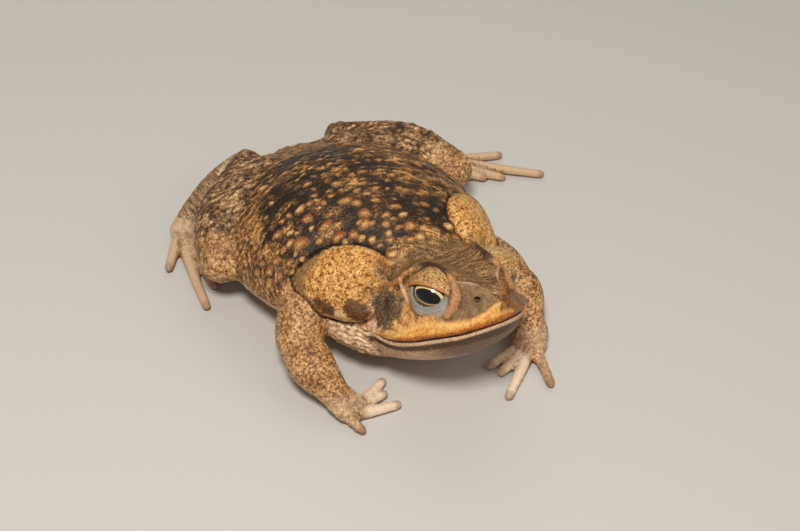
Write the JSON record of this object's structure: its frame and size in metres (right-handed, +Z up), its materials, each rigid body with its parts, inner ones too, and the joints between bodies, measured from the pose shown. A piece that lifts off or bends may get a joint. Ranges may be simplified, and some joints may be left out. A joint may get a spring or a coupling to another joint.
{
  "type": "cane toad",
  "caption": "Life-size still model of a cane toad at rest: broad warty body on folded hind legs, chest raised on the forelegs, large parotoid glands.",
  "frame": {"origin": "on the floor under the middle of the toad's bounding box, its toes included", "axes": "+X towards the snout, +Y towards the toad's left side, +Z up"},
  "size_m": [0.139, 0.1548, 0.0525],
  "materials": {
    "back_skin": "dark brown warty skin with tan warts, slightly moist",
    "head_skin": "olive to golden brown wrinkled skin, slightly moist",
    "gland_skin": "golden brown pored skin with dark brown blotches",
    "limb_skin": "tan granular skin netted with brown",
    "pale_skin": "cream to buff granular skin",
    "lower_lid_skin": "smooth pale grey moist skin",
    "tympanum": "grey-brown thin skin",
    "eye": "glossy, gold-flecked iris round a horizontal black pupil"
  },
  "bodies": {
    "root": {"torso": "back_skin", "head": "head_skin", "lower_jaw": "pale_skin", "eye_right": "eye", "eye_left": "eye", "upper_eyelid_right": "head_skin", "upper_eyelid_left": "head_skin", "lower_eyelid_right": "lower_lid_skin", "lower_eyelid_left": "lower_lid_skin", "tympanum_right": "tympanum", "tympanum_left": "tympanum", "parotoid_right": "gland_skin", "parotoid_left": "gland_skin", "upper_arm_right": "limb_skin", "upper_arm_left": "limb_skin", "forearm_right": "limb_skin", "forearm_left": "limb_skin", "hand_right": "pale_skin", "hand_left": "pale_skin", "thigh_right": "limb_skin", "thigh_left": "limb_skin", "shank_right": "limb_skin", "shank_left": "limb_skin", "tarsus_right": "limb_skin", "tarsus_left": "limb_skin", "foot_right": "pale_skin", "foot_left": "pale_skin"}
  },
  "joints": []
}
